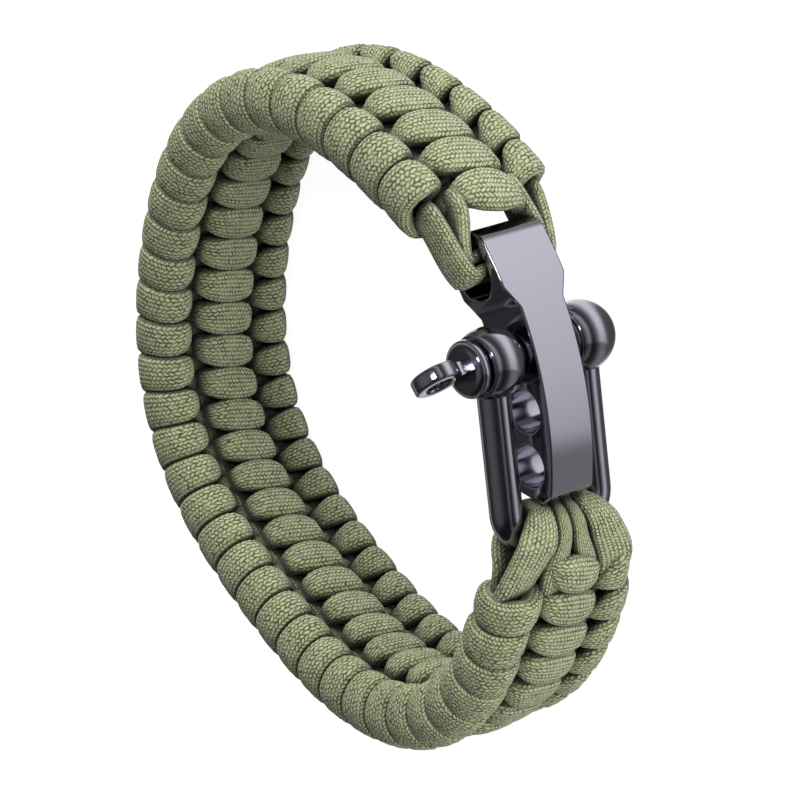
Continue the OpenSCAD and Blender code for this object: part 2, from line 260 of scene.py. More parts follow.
@dataclass(frozen=True)
class PressedCord:
    """A braided cord, pressed flat, that follows a line.

    Args:
        name: name of the finished piece.
        squareness: power of the section's outline, two for an ellipse.
        sides: number of points round the cord.
        columns: number of braid columns round the cord, an even number.
        flatness: how many times wider than thick the cord is where its points are spread evenly round it.
        tip: share of the section that is left at the very ends.
        shoulder: share of the section that is left one ring before them.
    """

    name: str
    squareness: float = 2.35
    sides: int = 18
    columns: int = 22
    flatness: float = 2.0
    tip: float = 0.72
    shoulder: float = 0.95

    def section(self) -> Array:
        """Return the outline of the section, one unit wide and thick."""
        a = 2 * math.pi * np.arange(721) / 720
        power = 2 / self.squareness
        line = np.stack([np.sign(np.cos(a)) * np.abs(np.cos(a)) ** power / 2,
                         np.sign(np.sin(a)) * np.abs(np.sin(a)) ** power / 2], -1)
        lengths = run_lengths(line * (self.flatness, 1.0))
        at = lengths[-1] * (np.arange(self.sides) + 0.5) / self.sides
        return np.stack([np.interp(at, lengths, line[:, 0]), np.interp(at, lengths, line[:, 1])], -1)

    def rings(self, rows: Array) -> Array:
        """Set the section round each place of the cord.

        Args:
            rows: rows of x, y, z, width, thickness and the three numbers of the width's direction.

        Returns:
            The points, one ring for each row.
        """
        outline = self.section()
        spine = rows[:, :3]
        tangents = np.gradient(spine, axis=0)
        tangents /= np.linalg.norm(tangents, axis=1)[:, None]
        wide = rows[:, 5:8] - (rows[:, 5:8] * tangents).sum(1)[:, None] * tangents
        wide /= np.maximum(np.linalg.norm(wide, axis=1), 1e-6)[:, None]
        through = np.cross(tangents, wide)
        rings = (spine[:, None] + outline[None, :, 0, None] * rows[:, 3, None, None] * wide[:, None]
                 + outline[None, :, 1, None] * rows[:, 4, None, None] * through[:, None])
        for ring, share in ((0, self.tip), (1, self.shoulder), (-2, self.shoulder), (-1, self.tip)):
            rings[ring] = spine[ring] + (rings[ring] - spine[ring]) * share
        return rings

    def mesh(self, rows: Array) -> bpy.types.Object:
        """Build the cord.

        Args:
            rows: rows of x, y, z, width, thickness and the three numbers of the width's direction.

        Returns:
            The new object, with its braid's places in the UV map named Sheath.
        """
        count, n = len(rows), self.sides
        points = [tuple(p * MM) for p in self.rings(rows).reshape(-1, 3)]
        lengths = run_lengths(rows[:, :3])
        faces, places = [], []
        for i in range(count - 1):
            for k in range(n):
                faces.append((i * n + k, (i + 1) * n + k, (i + 1) * n + (k + 1) % n, i * n + (k + 1) % n))
                u, v = self.columns * k / n, self.columns * (k + 1) / n
                places += [(u, lengths[i]), (u, lengths[i + 1]), (v, lengths[i + 1]), (v, lengths[i])]
        faces.append(tuple(range(n)))
        faces.append(tuple(reversed(range((count - 1) * n, count * n))))
        places += [(0.0, 0.0)] * (2 * n)
        data = bpy.data.meshes.new(self.name)
        data.from_pydata(points, [], faces)
        sheath = data.uv_layers.new(name="Sheath")
        sheath.data.foreach_set("uv", np.array(places, np.float32).ravel())
        data.polygons.foreach_set("use_smooth", [True] * len(faces))
        data.update()
        return placed(self.name, data)


@dataclass(frozen=True)
class WorkingCord:
    """One of the two cords that are woven over and under the core cords.

    Its path repeats every two rows. Half of it is in the table, a bar over the middle of one face and a
    loop round one edge, and the other half is the same with sides and faces exchanged, one row further on.

    Args:
        start_row: row of its first bar over the middle of the outer face.
        from_row: place where the cord comes out from under the end cords.
        to_row: place where it goes in again.
        half_width: half of the band's width.
        narrowing: amount by which each edge draws in over the band's first and last row.
        pitch: distance between rows at which the table's widths hold; closer rows press the cord narrower.
        lean: rows by which a far loop runs back at the very edge.
        near_lean: rows of place along the band and rows by which the near loops run ahead there.
        lean_from: side from which loops lean.
        lean_over: distance over which they reach their full lean.
        near_late: rows of place along the band and rows by which the near loops lie further on there.
        late_from: side from which they do.
        late_over: distance over which they come to lie that far on.
        spread_from: side from which a loop is wider where it leaves its bar.
        spread_to: side up to which it is wider.
        spread: what its width is multiplied by there.
        bar_end: side up to which the cord is a bar.
        bar_tip: side from which a bar goes down at its end.
        outer_reach: shares of the table's length and end height that a bar has on the outer face.
        inner_reach: the same shares for a bar on the inner face.
        inner_grown: rows of place along the band and what the inner bars' length is multiplied by there.
        draw_in: further narrowing of the near edge at the bow's end.
        draw_rows: number of rows over which that narrowing fades.
        smoothing: number of steps between neighbouring places of the table.
        table: rows of row, side, out, width and thickness.
    """

    start_row: int
    from_row: float
    to_row: float
    half_width: float
    narrowing: float
    pitch: float = 4.95
    lean: float = 0.24
    near_lean: tuple[tuple[float, float], ...] = ((0.0, 0.24), (22.0, 0.24), (33.0, -0.3), (38.0, -0.35))
    lean_from: float = 5.5
    lean_over: float = 4.4
    near_late: tuple[tuple[float, float], ...] = ((0.0, 0.27), (6.0, 0.2), (14.0, 0.0))
    late_from: float = 4.7
    late_over: float = 1.2
    spread_from: float = 5.5
    spread_to: float = 7.5
    spread: float = 1.22
    bar_end: float = 5.0
    bar_tip: float = 4.0
    outer_reach: tuple[float, float] = (0.88, 0.8)
    inner_reach: tuple[float, float] = (0.72, 0.45)
    inner_grown: tuple[tuple[float, float], ...] = ((0.0, 1.0), (16.0, 1.0), (24.0, 1.28), (38.0, 1.28))
    draw_in: float = 2.0
    draw_rows: float = 1.6
    smoothing: int = 5
    table: tuple[tuple[float, float, float, float, float], ...] = (
        # row, side, out, width, thickness
        (-0.22, 4.6, 1.75, 2.7, 2.5),
        (-0.16, 3.4, 2.6, 4.0, 2.7),
        (-0.07, 1.5, 3.0, 5.1, 2.75),
        (0.0, 0.0, 3.05, 5.25, 2.75),
        (0.07, -1.5, 3.0, 5.1, 2.75),
        (0.16, -3.4, 2.6, 4.0, 2.7),
        (0.22, -4.6, 1.75, 2.7, 2.5),
        (0.25, -5.25, 0.3, 2.4, 2.4),
        (0.285, -5.7, -1.3, 2.5, 2.5),
        (0.335, -6.7, -2.4, 3.4, 2.6),
        (0.4, -7.9, -2.85, 4.75, 2.5),
        (0.46, -9.25, -2.0, 4.95, 2.4),
        (0.5, -9.9, 0.0, 5.0, 2.4),
        (0.54, -9.25, 2.0, 4.95, 2.4),
        (0.6, -7.9, 2.85, 4.8, 2.5),
        (0.665, -6.7, 2.4, 3.5, 2.6),
        (0.715, -5.7, 1.3, 2.5, 2.5),
        (0.75, -5.25, -0.3, 2.4, 2.4),
    )

    def rows(self, line: LoopLine) -> Array:
        """Lay the cord in the band.

        Args:
            line: the line that the band follows.

        Returns:
            Rows of x, y, z, width, thickness and the width's direction, at even steps.
        """
        laid = [self.lay(line, turn, entry)
                for turn in range(math.floor(self.from_row) - 1, math.ceil(self.to_row) + 2)
                for entry in self.table if self.from_row <= turn + entry[0] <= self.to_row]
        return even_steps(smooth_line(np.array(laid), self.smoothing), CORD_STEP)

    def lay(self, line: LoopLine, turn: int, entry: tuple[float, ...]) -> list[float]:
        """Lay one place of the table in the band.

        Args:
            line: the line that the band follows.
            turn: row of the bar from which the table is counted.
            entry: the row of the table.

        Returns:
            The point, the width, the thickness and the width's direction.
        """
        flip = 1.0 if (turn - self.start_row) % 2 == 0 else -1.0
        row, side, out, width, thick = entry
        near, inner, off = side * flip > 0, out * flip < 0, abs(side)
        lean = value_at(self.near_lean, turn) if near else -self.lean
        at = turn + row + lean * max(0.0, off - self.lean_from) / self.lean_over
        if near:
            late = min(1.0, max(0.0, (off - self.late_from) / self.late_over))
            at += value_at(self.near_late, turn) * late
        if inner and self.spread_from < off < self.spread_to:
            width *= self.spread
        if off < self.bar_end:
            reach, tip = self.inner_reach if inner else self.outer_reach
            if off > self.bar_tip:
                out, thick = out * tip, thick * math.sqrt(tip)
            side *= reach * (value_at(self.inner_grown, turn) if inner else 1.0)
        drawn = self.narrowing * min(max(0.0, 1 - min(at, line.rows - at)), 1.0)
        if near:
            drawn += self.draw_in * max(0.0, 1 - max(at, 0.0) / self.draw_rows)
        room = (self.half_width - drawn) / self.half_width
        spot, along = line.on_band(at, out * flip, side * flip * room)
        share = line.row_gap(at, out * flip) / self.pitch
        return [*spot, width * share, thick / math.sqrt(share), *along]


@dataclass(frozen=True)
class WovenBand:
    """The flat woven band: four core cords with two working cords over and under them.

    Args:
        width: width from edge to edge.
        narrowing: amount by which each edge draws in at the band's two ends.
        before: rows before the first one at which the working cords start.
        squareness: power of the working cords' outline.
        working: rows of a working cord's name, the row of its first outer bar, and the rows past the last
            one at which it ends. The first ends short, so that a gap stays open beside the adaptor's head.
        core_sides: number of points round a core cord.
        core_step: length between neighbouring rings of a core cord.
        core_smoothing: number of steps in each half row of a core cord.
        cores: rows of a core cord's side, width and thickness.
    """

    width: float = 22.4
    narrowing: float = 1.6
    before: float = 0.3
    squareness: float = 3.0
    working: tuple[tuple[str, int, float], ...] = (
        ("working_cord_first", 0, -0.25),
        ("working_cord_second", 1, 0.26),
    )
    core_sides: int = 12
    core_step: float = 1.2
    core_smoothing: int = 3
    cores: tuple[tuple[float, float, float], ...] = (
        # side, width, thickness
        (6.95, 4.1, 2.4),
        (2.45, 4.9, 2.5),
        (-2.45, 4.9, 2.5),
        (-6.95, 4.1, 2.4),
    )

    def build(self, line: LoopLine, sheath: bpy.types.Material) -> list[bpy.types.Object]:
        """Build the cords of the band.

        Args:
            line: the line that the band follows.
            sheath: the finish of the cords.

        Returns:
            The new pieces, the first of which stands for the plain band.
        """
        pieces = []
        for name, start_row, past in self.working:
            cord = WorkingCord(start_row, -self.before, line.rows + past, self.width / 2, self.narrowing)
            pieces.append(PressedCord(name, self.squareness).mesh(cord.rows(line)))
        for number, (side, width, thick) in enumerate(self.cores, 1):
            laid = [[*line.on_band(half_rows / 2, 0.0, side)[0], width, thick, *UP]
                    for half_rows in range(1, 2 * line.rows - 1)]
            rows = even_steps(smooth_line(np.array(laid), self.core_smoothing), self.core_step)
            pieces.append(PressedCord(f"core_cord_{number}", sides=self.core_sides).mesh(rows))
        for piece in pieces:
            dress(piece, sheath, Body.BRACELET)
        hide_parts("woven_band")
        return pieces


@dataclass(frozen=True)
class BowCord:
    """One of the cords that pass round the bow's bottom. Each place across it is a side and a width.

    Args:
        node: name of the CAD piece.
        band: place where it comes out of the band.
        over: place over the bow, on the outer face.
        gap: place inside the bow.
        inner: place on the inner face.
        route: rows of row and out by which it comes from the band.
    """

    node: str
    band: tuple[float, float]
    over: tuple[float, float]
    gap: tuple[float, float]
    inner: tuple[float, float]
    route: tuple[tuple[float, float], ...] = ((0.9, 0.6), (0.4, 1.9), (-0.02, 2.1))


@dataclass(frozen=True)
class ShackleCords:
    """The four cords that pass round the bow's bottom, tight inside it and spread where they lie over it.

    Args:
        bottom: centre of the bow's bottom, seen along the pin's axis.
        wire: diameter of the bow's wire.
        thickness: thickness of the pressed cord.
        clearance: gap between the cord and the wire.
        squareness: power of the cords' outline.
        bend: directions about the bottom, in degrees from the bow's own, at which the bend starts and ends.
        bend_step: degrees between the bend's places.
        over_fade: degrees from the start over which the outer place changes to the inside one.
        inner_fade: degrees to the end over which the inside place changes to the inner face's.
        tuck: share of the inner side that is left at the end of the bend.
        route_back: rows of row and out by which a cord goes back into the band.
        smoothing: number of steps between neighbouring places.
        cords: the four cords. The near one lies lower in the band, under the first near loop.
    """

    bottom: tuple[float, float] = (20.9215, 25.5161)
    wire: float = 4.0
    thickness: float = 1.95
    clearance: float = 0.12
    squareness: float = 2.9
    bend: tuple[int, int] = (75, 300)
    bend_step: int = 25
    over_fade: float = 75.0
    inner_fade: float = 60.0
    tuck: float = 0.85
    route_back: tuple[tuple[float, float], ...] = ((-0.02, -2.1), (0.4, -1.9), (0.9, -0.6))
    smoothing: int = 6
    cords: tuple[BowCord, ...] = (
        BowCord("shackle_cord_near", (7.0, 5.4), (5.3, 6.0), (3.2, 3.0), (5.8, 4.4),
                ((0.9, -0.3), (0.5, 0.3), (0.12, 0.9))),
        BowCord("shackle_cord_near_middle", (2.4, 3.4), (1.25, 2.1), (0.85, 1.6), (2.0, 3.0)),
        BowCord("shackle_cord_far_middle", (-2.4, 3.4), (-1.25, 2.1), (-0.85, 1.6), (-2.0, 3.0)),
        BowCord("shackle_cord_far", (-7.2, 5.4), (-5.3, 4.6), (-3.2, 2.9), (-5.8, 4.4)),
    )

    def rows(self, cord: BowCord, line: LoopLine) -> Array:
        """Lay a cord from the band round the bow's bottom and back.

        Args:
            cord: the cord.
            line: the line that the band follows.

        Returns:
            Rows of x, y, z, width, thickness and the width's direction, at even steps.
        """
        a = math.radians(BOW_TURN)
        ahead, out = np.array([math.cos(a), math.sin(a)]), np.array([-math.sin(a), math.cos(a)])
        radius = self.wire / 2 + self.clearance + self.thickness / 2
        over, gap, inner = np.array(cord.over), np.array(cord.gap), np.array(cord.inner)
        laid = [[*line.on_band(row, lift, cord.band[0])[0], cord.band[1], self.thickness, *UP]
                for row, lift in cord.route]
        first, last = self.bend
        for turn in range(first, last + 1, self.bend_step):
            front = max(0.0, 1 - (turn - first) / self.over_fade)
            back = max(0.0, 1 - (last - turn) / self.inner_fade)
            side, width = gap + front * (over - gap) + back * (inner * (self.tuck, 1.0) - gap)
            b = math.radians(turn)
            spot = np.array(self.bottom) + radius * (math.cos(b) * ahead + math.sin(b) * out)
            laid.append([*spot, line.mid_z + side, width, self.thickness, *UP])
        laid += [[*line.on_band(row, lift, cord.inner[0])[0], cord.inner[1], self.thickness, *UP]
                 for row, lift in self.route_back]
        return even_steps(smooth_line(np.array(laid), self.smoothing), CORD_STEP)

    def build(self, line: LoopLine, sheath: bpy.types.Material) -> list[bpy.types.Object]:
        """Build the four cords.

        Args:
            line: the line that the band follows.
            sheath: the finish of the cords.

        Returns:
            The new pieces, each of which stands for its plain cord.
        """
        pieces = []
        for cord in self.cords:
            piece = PressedCord(f"{cord.node}_braided", self.squareness).mesh(self.rows(cord, line))
            pieces.append(dress(piece, sheath, Body.BRACELET, cord.node))
        return pieces


@dataclass(frozen=True)
class SlotLoop:
    """One of the loops that pass through the adaptor's slot.

    Args:
        node: name of the CAD piece.
        length: length along the slot from its round end.
        near_side: distance from the middle at which it joins the band's near half.
        far_side: the same for the far half.
        out: distance outward at which it joins the band.
        bulge: how far it stands off the head's side.
    """

    node: str
    length: float
    near_side: float
    far_side: float
    out: float
    bulge: float


@dataclass(frozen=True)
class AdaptorLoops:
    """The two loops of core cord that pass through the adaptor's slot.

    Args:
        centre: centre of the adaptor's arc, seen along the pin's axis.
        slot_radius: radius of the slot's middle about that centre.
        length_radius: radius at which lengths along the slot are measured.
        slot_turn: direction of the slot's round end, in degrees from the clasp's side.
        head: width of the adaptor's head.
        width: width of the pressed cord.
        thickness: thickness of the pressed cord.
        clearance: gap between the cord and the head's side.
        bulge_shift: share of a loop's bulge by which it also lies further along the slot beside the head.
        mouth_spread: how much wider the cord is beside the head.
        pinch: how much narrower it is in the middle of the slot.
        lip: depth inside the slot at which it has its own width again.
        joined: rows from the band's last one between which a loop leaves the band.
        squareness: power of the cords' outline.
        smoothing: number of steps between neighbouring places.
        loops: the two loops.
    """

    centre: tuple[float, float] = (-2.0017, -3.09376)
    slot_radius: float = 34.95
    length_radius: float = 35.2
    slot_turn: float = -7.7196
    head: float = 9.4
    width: float = 4.5
    thickness: float = 1.75
    clearance: float = 0.15
    bulge_shift: float = 0.25
    mouth_spread: float = 0.3
    pinch: float = 0.1
    lip: float = 0.5
    joined: tuple[float, float] = (-0.35, 0.06)
    squareness: float = 2.9
    smoothing: int = 6
    loops: tuple[SlotLoop, ...] = (
        SlotLoop("adaptor_loop_inner", 3.05, 7.6, 7.6, -0.4, 0.3),
        SlotLoop("adaptor_loop_outer", 4.88, 4.6, 4.2, 0.8, 0.0),
    )

    def in_slot(self, length: float) -> tuple[Array, Array]:
        """Return the place in the slot at a length from its round end, and the direction outward there."""
        turn = math.radians(self.slot_turn - math.degrees(length / self.length_radius))
        outward = np.array([math.sin(turn), math.cos(turn), 0.0])
        return np.array([*self.centre, 0.0]) + self.slot_radius * outward, outward

    def rows(self, loop: SlotLoop, line: LoopLine) -> Array:
        """Lay a loop from the band's near half through the slot to its far half.

        Args:
            loop: the loop.
            line: the line that the band follows.

        Returns:
            Rows of x, y, z, width, thickness and the width's direction, at even steps.
        """
        here, outward = self.in_slot(loop.length)
        beside, _ = self.in_slot(loop.length + loop.bulge * self.bulge_shift)
        clear = self.head / 2 + self.clearance + self.thickness / 2 + loop.bulge
        laid = []
        for way, end_side in ((1, loop.near_side), (-1, -loop.far_side)):
            half = [(line.on_band(line.rows + row, loop.out, end_side)[0], self.width)
                    for row in self.joined]
            half.append((beside + (line.mid_z + way * clear) * UP, self.width + self.mouth_spread))
            half.append((here + (line.mid_z + way * (self.head / 2 - self.lip)) * UP, self.width))
            laid += half[::way]
            if way > 0:
                laid.append((here + line.mid_z * UP, self.width - self.pinch))
        rows = np.array([[*spot, width, self.thickness, *outward] for spot, width in laid])
        return even_steps(smooth_line(rows, self.smoothing), CORD_STEP)

    def build(self, line: LoopLine, sheath: bpy.types.Material) -> list[bpy.types.Object]:
        """Build the two loops.

        Args:
            line: the line that the band follows.
            sheath: the finish of the cords.

        Returns:
            The new pieces, each of which stands for its plain loop.
        """
        pieces = []
        for loop in self.loops:
            piece = PressedCord(f"{loop.node}_braided", self.squareness).mesh(self.rows(loop, line))
            pieces.append(dress(piece, sheath, Body.BRACELET, loop.node))
        return pieces


@dataclass(frozen=True)
class Adaptor:
    """The adaptor, a polished copy of its CAD mesh with fine rounded edges.

    Args:
        node: name of the CAD piece.
        edge: width of the rounding on its edges.
        sharp: smallest angle between two faces, in degrees, that counts as an edge.
        level: largest angle between faces, in degrees, at which they are joined into one.
        weld: distance within which points are joined into one.
    """

    node: str = "adaptor"
    edge: float = 0.3
    sharp: float = 32.0
    level: float = 0.6
    weld: float = 0.002

    def build(self, finish: bpy.types.Material) -> bpy.types.Object:
        """Build the copy.

        Args:
            finish: the metal's finish.

        Returns:
            The new piece, which stands for its CAD piece.
        """
        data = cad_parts[self.node].data.copy()
        data.materials.clear()
        shape = bmesh.new()
        shape.from_mesh(data)
        bmesh.ops.remove_doubles(shape, verts=shape.verts, dist=self.weld * MM)
        bmesh.ops.dissolve_limit(shape, angle_limit=math.radians(self.level), verts=shape.verts,
                                 edges=shape.edges)
        edges = [e for e in shape.edges
                 if len(e.link_faces) == 2 and e.calc_face_angle(0.0) > math.radians(self.sharp)]
        bmesh.ops.bevel(shape, geom=edges, offset=self.edge * MM, offset_type="OFFSET", segments=2,
                        profile=0.5, affect="EDGES", clamp_overlap=True)
        for face in shape.faces:
            face.smooth = True
        shape.to_mesh(data)
        shape.free()
        made = placed(f"{self.node}_polished", data)
        made.modifiers.new("Even shading", "WEIGHTED_NORMAL")
        return dress(made, finish, Body.BRACELET, self.node)


class Shell:
    """A mesh gathered from several closed surfaces that make one metal piece."""

    CORNER_STEPS = 4  # number of steps round a block's rounded corner
    SHARP = 40.0  # smallest angle between two faces, in degrees, that stays a sharp edge
    WELD = 0.0001  # distance within which points are joined into one

    def __init__(self) -> None:
        """Start with nothing."""
        self.points: list[Array] = []
        self.faces: list[tuple[int, ...]] = []

    def grid(self, rows: Array, capped: bool) -> None:
        """Add a tube of closed rings.

        Args:
            rows: points of the rings, one ring after the other.
            capped: whether the first and last ring are closed by a flat face.
        """
        start = len(self.points)
        rings, n = rows.shape[:2]
        self.points += list(rows.reshape(-1, 3))
        for i in range(rings - 1):
            for k in range(n):
                a, b = start + i * n + k, start + i * n + (k + 1) % n
                self.faces.append((a, b, b + n, a + n))
        if capped:
            self.faces.append(tuple(start + k for k in reversed(range(n))))
            self.faces.append(tuple(start + (rings - 1) * n + k for k in range(n)))

    def turned(self, profile: Array, centre: Array, axis: Array, closed: bool, sides: int = 96) -> None:
        """Add a shape turned about an axis.

        Args:
            profile: rows of radius and length along the axis.
            centre: the point on the axis at length zero.
            axis: direction of the axis.
            closed: whether the profile comes back to its start.
            sides: number of points round the axis.
        """
        first = unit(np.cross(axis, UP) if abs(axis[2]) < 0.9 else np.array([1.0, 0.0, 0.0]))
        second = np.cross(axis, first)
        a = 2 * math.pi * np.arange(sides) / sides
        around = np.cos(a)[:, None] * first + np.sin(a)[:, None] * second
        if closed:
            profile = np.concatenate([profile, profile[:1]])
        self.grid(centre + profile[:, 0, None, None] * around + profile[:, 1, None, None] * axis, False)

    def block(self, centre: Array, ways: tuple[Array, Array, Array], size: tuple[float, float, float],
              rounding: float) -> None:
        """Add a block with rounded corners along its last way.

        Args:
            centre: middle of the block.
            ways: directions of its three sides.
            size: its three lengths.
            rounding: radius of its long corners.
        """
        ring = []
        for corner, (sx, sy) in enumerate(((1, 1), (-1, 1), (-1, -1), (1, -1))):
            for step in range(self.CORNER_STEPS + 1):
                a = math.radians(90 * (corner + step / self.CORNER_STEPS))
                ring.append(centre + (sx * (size[0] / 2 - rounding) + rounding * math.cos(a)) * ways[0]
                            + (sy * (size[1] / 2 - rounding) + rounding * math.sin(a)) * ways[1])
        self.grid(np.array([np.array(ring) + end * size[2] / 2 * ways[2] for end in (-1, 1)]), True)

    def build(self, name: str) -> bpy.types.Object:
        """Return the finished object, smooth but for its real corners."""
        data = bpy.data.meshes.new(name)
        data.from_pydata([tuple(p * MM) for p in self.points], [], self.faces)
        shape = bmesh.new()
        shape.from_mesh(data)
        bmesh.ops.remove_doubles(shape, verts=shape.verts, dist=self.WELD * MM)
        bmesh.ops.recalc_face_normals(shape, faces=shape.faces)
        sharp = math.radians(self.SHARP)
        for face in shape.faces:
            face.smooth = True
        for edge in shape.edges:
            edge.smooth = not (len(edge.link_faces) == 2 and edge.calc_face_angle(0.0) > sharp)
        shape.to_mesh(data)
        shape.free()
        return placed(name, data)


def eased(corners: list[tuple[float, float]], ease: float, closed: bool, straight: float = 0.94,
          longest: float = 0.45, points: int = 5) -> Array:
    """Round the corners of a profile.

    Args:
        corners: rows of radius and length.
        ease: how far from a corner the rounding starts.
        closed: whether the profile comes back to its start.
        straight: cosine of the turn at a corner from which it counts as straight.
        longest: largest share of a neighbouring side that a rounding takes.
        points: number of points in a rounding.

    Returns:
        The rounded profile.
    """
    line = np.array(corners, float)
    n = len(line)
    done = []
    for i, here in enumerate(line):
        if not closed and i in (0, n - 1):
            done.append(here)
            continue
        into, out = here - line[i - 1], line[(i + 1) % n] - here
        if float(into @ out) / max(np.linalg.norm(into) * np.linalg.norm(out), 1e-9) > straight:
            done.append(here)
            continue
        d = min(ease, np.linalg.norm(into) * longest, np.linalg.norm(out) * longest)
        start, end = here - unit(into) * d, here + unit(out) * d
        for t in np.linspace(0, 1, points):
            done.append((1 - t) ** 2 * start + 2 * t * (1 - t) * here + t * t * end)
    return np.array(done)


@dataclass(frozen=True)
class Shackle:
    """The bow with its two ears, and the screw pin.

    Args:
        pin_at: the pin's axis, seen from above.
        mid_z: height of the middle of the bow.
        turn: direction from the pin to the bow's bottom, in degrees.
        reach: distance from the pin's axis to the middle of the bow's bottom.
        wire: radius of the wire.
        wire_sides: number of points round the wire.
        leg: distance of a leg from the middle.
        leg_root: distances from the pin's axis at which a leg starts inside its ear and comes out of it.
        bend: radius of the bends.
        ear: radius of an ear.
        flat: distance from an ear's centre to its inner face.
        seat: distance from the near ear's centre to the face under the collar.
        pin: radius of the shank.
        bore: radius of the ears' bores.
        bore_end: depth of the far bore's end below the middle.
        tip: depth of the shank's tip below the middle.
        collar: radius and thickness of the collar.
        eye: inner and outer radius of the eye.
        eye_sides: number of points round the eye.
        eye_z: height of the eye's centre above the middle.
        tab: thickness of the eye tab and width of its neck.
        tab_turn: turn of the eye's own axis, in degrees.
        neck_top: share of the eye's outer radius below its centre at which the neck ends.
        neck_sunk: depth of the neck's foot in the collar.
        ear_ease: rounding of the ears' edges.
        pin_ease: rounding of the pin's edges.
        eye_ease: rounding of the eye's edges.
        neck_ease: rounding of the neck's corners.
        leg_points: number of places along a straight leg.
        bend_points: number of places round a bend.
        ball_points: number of points in an ear's profile.
        rim_points: number of points in the collar's round rim.
    """

    pin_at: tuple[float, float] = (0.4537, 32.0205)
    mid_z: float = BAND_MIDDLE
    turn: float = BOW_TURN
    reach: float = 21.476
    wire: float = 2.0
    wire_sides: int = 56
    leg: float = 6.85
    leg_root: tuple[float, float] = (2.7, 4.0)
    bend: float = 3.2
    ear: float = 4.3
    flat: float = 2.5
    seat: float = 2.2
    pin: float = 2.4
    bore: float = 2.45
    bore_end: float = 9.35
    tip: float = 8.95
    collar: tuple[float, float] = (3.5, 2.1)
    eye: tuple[float, float] = (1.6, 2.95)
    eye_sides: int = 72
    eye_z: float = 14.9
    tab: tuple[float, float] = (1.9, 3.2)
    tab_turn: float = 17.0
    neck_top: float = 0.72
    neck_sunk: float = 0.6
    ear_ease: float = 0.3
    pin_ease: float = 0.25
    eye_ease: float = 0.42
    neck_ease: float = 0.3
    leg_points: int = 12
    bend_points: int = 15
    ball_points: int = 22
    rim_points: int = 14

    def centre(self) -> Array:
        """Return the middle of the pin's axis."""
        return np.array([*self.pin_at, self.mid_z])

    def ball(self, start: float, end: float, side: float) -> list[tuple[float, float]]:
        """Return a ball's profile between two lengths from its centre, on one side of the middle."""
        lengths = np.linspace(start, end, self.ball_points)
        return [(math.sqrt(max(self.ear ** 2 - h * h, 0.0)), side * (self.leg + h)) for h in lengths]

    def sweep(self) -> Array:
        """Return the rings of the bent wire, from inside the near ear round to the far one."""
        a = math.radians(self.turn)
        ahead = np.array([math.cos(a), math.sin(a), 0.0])
        bend_at = self.reach - self.bend
        line = [(self.leg_root[0], self.leg)]
        line += [(x, self.leg) for x in np.linspace(self.leg_root[1], bend_at, self.leg_points)]
        line += [(bend_at + self.bend * math.sin(b), self.leg - self.bend + self.bend * math.cos(b))
                 for b in np.radians(np.linspace(90 / self.bend_points, 90, self.bend_points))]
        line += [(x, -z) for x, z in reversed(line)]
        spine = np.array(line)
        ways = np.gradient(spine, axis=0)
        ways /= np.linalg.norm(ways, axis=1)[:, None]
        across = np.cross(ahead, UP)
        b = 2 * math.pi * np.arange(self.wire_sides) / self.wire_sides
        return np.array([self.centre() + x * ahead + z * UP + self.wire * (
            np.cos(b)[:, None] * across + np.sin(b)[:, None] * (-wz * ahead + wx * UP))
            for (x, z), (wx, wz) in zip(spine, ways)])

    def bow(self, finish: bpy.types.Material) -> bpy.types.Object:
        """Build the bow.

        Args:
            finish: the metal's finish.

        Returns:
            The new piece, which stands for the plain bow.
        """
        shell = Shell()
        shell.grid(self.sweep(), True)
        near = [(self.bore, self.leg - self.flat), *self.ball(-self.flat, self.seat, 1.0),
                (self.bore, self.leg + self.seat)]
        shell.turned(eased(near, self.ear_ease, True), self.centre(), UP, True)
        far = [(AXIS_RADIUS, -self.bore_end), (self.bore, -self.bore_end),
               (self.bore, self.flat - self.leg), *self.ball(-self.flat, self.ear - AXIS_RADIUS / 2, -1.0)]
        shell.turned(eased(far, self.ear_ease, False), self.centre(), UP, False)
        return dress(shell.build("shackle_bow_turned"), finish, Body.BRACELET, "shackle_bow")

    def screw(self, finish: bpy.types.Material) -> bpy.types.Object:
        """Build the screw pin.

        Args:
            finish: the metal's finish.

        Returns:
            The new piece, which stands for the plain pin.
        """
        shell = Shell()
        radius, thickness = self.collar
        seat, rim = self.leg + self.seat, thickness / 2
        top = seat + thickness
        line = [(AXIS_RADIUS, -self.tip), (self.pin, -self.tip), (self.pin, seat), (radius - rim, seat)]
        step = 180 / (self.rim_points + 1)
        line += [(radius - rim + rim * math.sin(b), seat + rim - rim * math.cos(b))
                 for b in np.radians(np.linspace(step, 180 - step, self.rim_points))]
        line += [(radius - rim, top), (AXIS_RADIUS, top)]
        shell.turned(eased(line, self.pin_ease, False), self.centre(), UP, False)
        a = math.radians(self.tab_turn)
        axis, side = np.array([math.cos(a), math.sin(a), 0.0]), np.array([-math.sin(a), math.cos(a), 0.0])
        half, (hole, rim_r) = self.tab[0] / 2, self.eye
        ring = [(hole, -half), (rim_r, -half), (rim_r, half), (hole, half)]
        shell.turned(eased(ring, self.eye_ease, True), self.centre() + self.eye_z * UP, axis, True,
                     self.eye_sides)
        foot = top - self.neck_sunk
        length = self.eye_z - rim_r * self.neck_top - foot
        shell.block(self.centre() + (foot + length / 2) * UP, (side, axis, UP),
                    (self.tab[1], self.tab[0], length), self.neck_ease)
        return dress(shell.build("screw_pin_turned"), finish, Body.PIN, "screw_pin")


